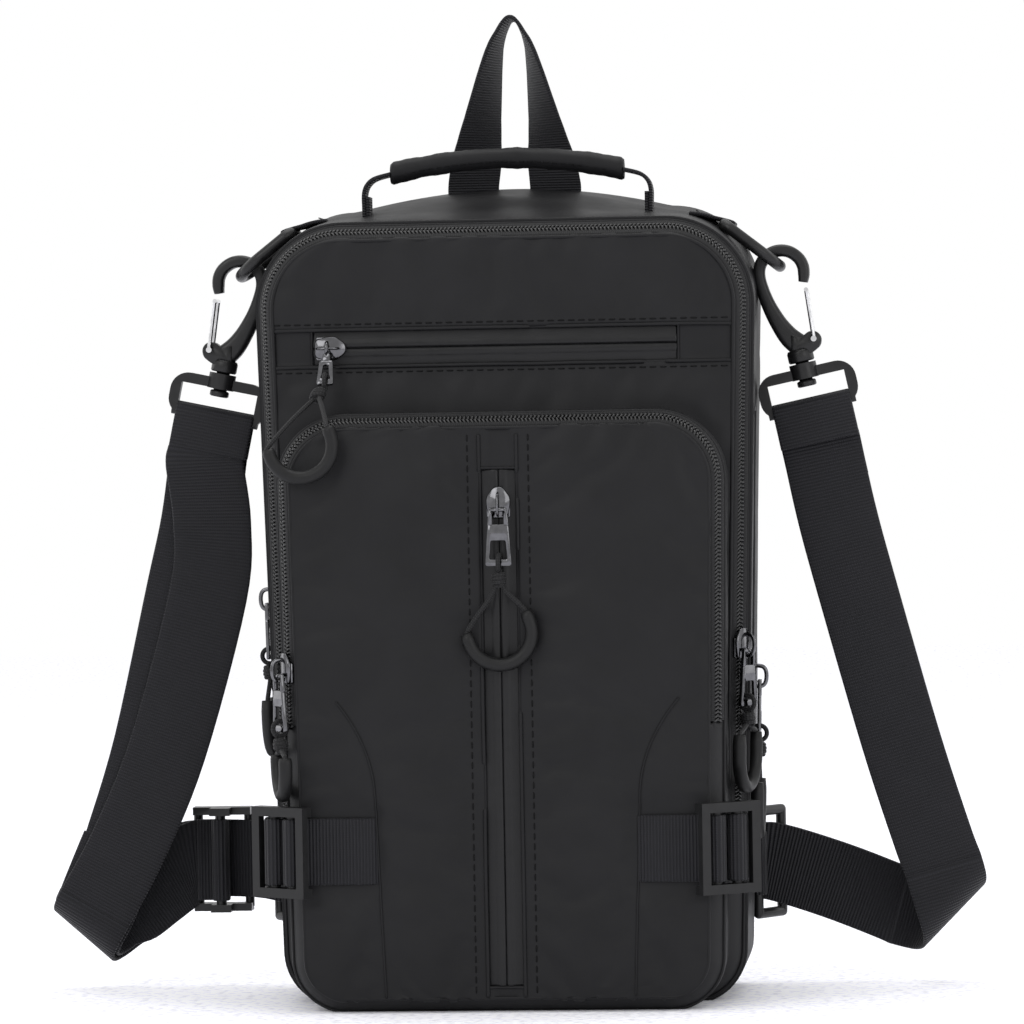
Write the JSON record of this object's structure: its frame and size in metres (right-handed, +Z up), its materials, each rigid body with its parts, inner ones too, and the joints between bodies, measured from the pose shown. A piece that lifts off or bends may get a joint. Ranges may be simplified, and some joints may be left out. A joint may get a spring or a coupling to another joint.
{
  "type": "sling bag",
  "caption": "Small upright sling bag with a front zip pocket, top handle, hanging loop, side compression straps and an adjustable shoulder strap on swivel snap hooks.",
  "frame": {"origin": "middle of the main compartment base, on the surface the bag stands on", "axes": "+Z up, -Y towards the front pocket, +X to the right seen from the front"},
  "size_m": [0.3691, 0.1231, 0.3788],
  "materials": {
    "shell_fabric": "black coated nylon with a soft sheen",
    "air_mesh": "black spacer mesh over foam",
    "stiffener": "thin polyethylene board",
    "lining": "grey polyester lining",
    "zip_coil": "black nylon coil",
    "zip_tape": "black woven polyester tape",
    "gunmetal": "polished black nickel plating",
    "pull_rubber": "matte black rubber and cord",
    "black_acetal": "matte black moulded acetal",
    "gate_steel": "bright sprung steel wire",
    "webbing": "black ribbed nylon webbing"
  },
  "bodies": {
    "root": {"gusset": "shell_fabric", "base_panel": "shell_fabric", "back_panel": "shell_fabric", "back_pad": "air_mesh", "back_stiffener": "stiffener", "divider_sleeve": "lining", "front_panel": "shell_fabric", "main_zip_tape": "zip_tape", "main_zip_coil": "zip_coil", "row_zip": "zip_tape", "pocket_gusset": "shell_fabric", "pocket_face": "shell_fabric", "pocket_zip_tape": "zip_tape", "pocket_zip_coil": "zip_coil", "column_zip": "zip_tape", "side_zips": "zip_tape", "handle_roots": "webbing", "corner_tabs": "webbing", "shoulder_strap": "webbing", "strap_return": "webbing", "lower_tabs": "webbing", "cinch_straps": "webbing"},
    "main_slider": {"main_slider": "gunmetal"},
    "main_tab": {"main_tab": "gunmetal"},
    "main_pull": {"main_pull": "pull_rubber"},
    "row_slider": {"row_slider": "gunmetal"},
    "row_tab": {"row_tab": "gunmetal"},
    "row_pull": {"row_pull": "pull_rubber"},
    "column_slider": {"column_slider": "gunmetal"},
    "column_tab": {"column_tab": "gunmetal"},
    "column_pull": {"column_pull": "pull_rubber"},
    "pocket_slider": {"pocket_slider": "gunmetal"},
    "pocket_tab": {"pocket_tab": "gunmetal"},
    "pocket_pull": {"pocket_pull": "pull_rubber"},
    "side_slider_left": {"side_slider_left": "gunmetal"},
    "side_tab_left": {"side_tab_left": "gunmetal"},
    "side_pull_left": {"side_pull_left": "pull_rubber"},
    "side_slider_right": {"side_slider_right": "gunmetal"},
    "side_tab_right": {"side_tab_right": "gunmetal"},
    "side_pull_right": {"side_pull_right": "pull_rubber"},
    "handle": {"handle_webbing": "webbing", "handle_grip": "shell_fabric"},
    "hanging_loop": {"hanging_loop": "webbing"},
    "d_ring_left": {"d_ring_left": "black_acetal"},
    "strap_loop_left": {"strap_loop_left": "black_acetal", "strap_end_left": "webbing"},
    "snap_hook_left": {"snap_hook_left": "black_acetal"},
    "hook_gate_left": {"hook_gate_left": "gate_steel"},
    "d_ring_right": {"d_ring_right": "black_acetal"},
    "strap_loop_right": {"strap_loop_right": "black_acetal", "strap_end_right": "webbing"},
    "snap_hook_right": {"snap_hook_right": "black_acetal"},
    "hook_gate_right": {"hook_gate_right": "gate_steel"},
    "tri_glide": {"tri_glide": "black_acetal", "strap_end_glide": "webbing"},
    "lower_ring_left": {"lower_ring_left": "black_acetal"},
    "cinch_buckle_left": {"cinch_buckle_left": "black_acetal"},
    "lower_ring_right": {"lower_ring_right": "black_acetal"},
    "cinch_buckle_right": {"cinch_buckle_right": "black_acetal"}
  },
  "joints": [
    {"name": "main_slider_travel", "type": "slide", "parent": "root", "child": "main_slider", "axis": [0.0266, 0, 0.9996], "range_m": [0, 0.055]},
    {"name": "main_tab_lift", "type": "hinge", "parent": "main_slider", "child": "main_tab", "pos_m": [0.09108, -0.02763, 0.13289], "axis": [-0.5663, -0.824, 0.0151], "range_deg": [0, 80]},
    {"name": "main_pull_swing", "type": "hinge", "parent": "main_tab", "child": "main_pull", "pos_m": [0.09055, -0.02763, 0.11315], "axis": [-0.5663, -0.824, 0.0151], "range_deg": [0, 60]},
    {"name": "row_slider_travel", "type": "slide", "parent": "root", "child": "row_slider", "axis": [1, 0, 0], "range_m": [0, 0.118]},
    {"name": "row_tab_lift", "type": "hinge", "parent": "row_slider", "child": "row_tab", "pos_m": [-0.066, -0.0355, 0.2495], "axis": [-1, 0, 0], "range_deg": [0, 45]},
    {"name": "row_pull_swing", "type": "hinge", "parent": "row_tab", "child": "row_pull", "pos_m": [-0.066, -0.04345, 0.23678], "axis": [-1, 0, 0], "range_deg": [0, 60]},
    {"name": "column_slider_travel", "type": "slide", "parent": "root", "child": "column_slider", "axis": [0, 0, 1], "range_m": [-0.115, 0.004]},
    {"name": "column_tab_lift", "type": "hinge", "parent": "column_slider", "child": "column_tab", "pos_m": [0, -0.0612, 0.188], "axis": [-1, 0, 0], "range_deg": [0, 80]},
    {"name": "column_pull_swing", "type": "hinge", "parent": "column_tab", "child": "column_pull", "pos_m": [0, -0.0612, 0.16825], "axis": [-1, 0, 0], "range_deg": [0, 60]},
    {"name": "pocket_slider_travel", "type": "slide", "parent": "root", "child": "pocket_slider", "axis": [-0.0169, 0, 0.9999], "range_m": [0, 0.06]},
    {"name": "pocket_tab_lift", "type": "hinge", "parent": "pocket_slider", "child": "pocket_tab", "pos_m": [-0.08411, -0.05575, 0.12693], "axis": [-0.5703, 0.8214, -0.0096], "range_deg": [0, 80]},
    {"name": "pocket_pull_swing", "type": "hinge", "parent": "pocket_tab", "child": "pocket_pull", "pos_m": [-0.08378, -0.05575, 0.10718], "axis": [-0.5703, 0.8214, -0.0096], "range_deg": [0, 60]},
    {"name": "side_slider_left_travel", "type": "slide", "parent": "root", "child": "side_slider_left", "axis": [-0.0266, 0, 0.9996], "range_m": [0, 0.03]},
    {"name": "side_tab_left_lift", "type": "hinge", "parent": "side_slider_left", "child": "side_tab_left", "pos_m": [-0.09491, -0.002, 0.15187], "axis": [0, 1, 0], "range_deg": [0, 20]},
    {"name": "side_pull_left_swing", "type": "hinge", "parent": "side_tab_left", "child": "side_pull_left", "pos_m": [-0.09439, -0.002, 0.13212], "axis": [0, 1, 0], "range_deg": [0, 15]},
    {"name": "side_slider_right_travel", "type": "slide", "parent": "root", "child": "side_slider_right", "axis": [0.0266, 0, 0.9996], "range_m": [-0.016, 0]},
    {"name": "side_tab_right_lift", "type": "hinge", "parent": "side_slider_right", "child": "side_tab_right", "pos_m": [0.09406, -0.002, 0.11987], "axis": [0, -1, 0], "range_deg": [0, 20]},
    {"name": "side_pull_right_swing", "type": "hinge", "parent": "side_tab_right", "child": "side_pull_right", "pos_m": [0.09354, -0.002, 0.10013], "axis": [0, -1, 0], "range_deg": [0, 15]},
    {"name": "handle_fold", "type": "hinge", "parent": "root", "child": "handle", "pos_m": [0, 0.006, 0.306], "axis": [1, 0, 0], "range_deg": [-35, 35]},
    {"name": "hanging_loop_fold", "type": "hinge", "parent": "root", "child": "hanging_loop", "pos_m": [0, 0.037, 0.312], "axis": [1, 0, 0], "range_deg": [-25, 40]},
    {"name": "d_ring_left_tilt", "type": "hinge", "parent": "root", "child": "d_ring_left", "pos_m": [-0.0835, 0.008, 0.2945], "axis": [0, 1, 0], "range_deg": [-1.5, 1.5]},
    {"name": "strap_loop_left_swing", "type": "hinge", "parent": "root", "child": "strap_loop_left", "pos_m": [-0.104, 0.008, 0.2785], "axis": [0, 1, 0], "range_deg": [-1, 12]},
    {"name": "snap_hook_left_swivel", "type": "hinge", "parent": "strap_loop_left", "child": "snap_hook_left", "pos_m": [-0.11327, 0.008, 0.23488], "axis": [0.2079, 0, 0.9781], "range_deg": [-15, 15]},
    {"name": "hook_gate_left_open", "type": "hinge", "parent": "snap_hook_left", "child": "hook_gate_left", "pos_m": [-0.11662, 0.008, 0.25041], "axis": [0, 1, 0], "range_deg": [0, 24], "stiffness_Nm_per_rad": 0.02},
    {"name": "d_ring_right_tilt", "type": "hinge", "parent": "root", "child": "d_ring_right", "pos_m": [0.0835, 0.008, 0.2945], "axis": [0, 1, 0], "range_deg": [-1.5, 1.5]},
    {"name": "strap_loop_right_swing", "type": "hinge", "parent": "root", "child": "strap_loop_right", "pos_m": [0.104, 0.008, 0.2785], "axis": [0, -1, 0], "range_deg": [-1, 12]},
    {"name": "snap_hook_right_swivel", "type": "hinge", "parent": "strap_loop_right", "child": "snap_hook_right", "pos_m": [0.11327, 0.008, 0.23488], "axis": [-0.2079, 0, 0.9781], "range_deg": [-15, 15]},
    {"name": "hook_gate_right_open", "type": "hinge", "parent": "snap_hook_right", "child": "hook_gate_right", "pos_m": [0.11662, 0.008, 0.25041], "axis": [0, -1, 0], "range_deg": [0, 24], "stiffness_Nm_per_rad": 0.02},
    {"name": "tri_glide_travel", "type": "slide", "parent": "root", "child": "tri_glide", "axis": [1, 0, 0], "range_m": [0, 0.006]},
    {"name": "lower_ring_left_turn", "type": "hinge", "parent": "root", "child": "lower_ring_left", "pos_m": [-0.0905, 0.039, 0.047], "axis": [0, 0, 1], "range_deg": [-6, 6]},
    {"name": "cinch_buckle_left_tilt", "type": "hinge", "parent": "root", "child": "cinch_buckle_left", "pos_m": [-0.07931, -0.06008, 0.061], "axis": [0, 0, 1], "range_deg": [-3, 3]},
    {"name": "lower_ring_right_turn", "type": "hinge", "parent": "root", "child": "lower_ring_right", "pos_m": [0.0905, 0.039, 0.047], "axis": [0, 0, 1], "range_deg": [-6, 6]},
    {"name": "cinch_buckle_right_tilt", "type": "hinge", "parent": "root", "child": "cinch_buckle_right", "pos_m": [0.07931, -0.06008, 0.061], "axis": [0, 0, 1], "range_deg": [-3, 3]}
  ]
}
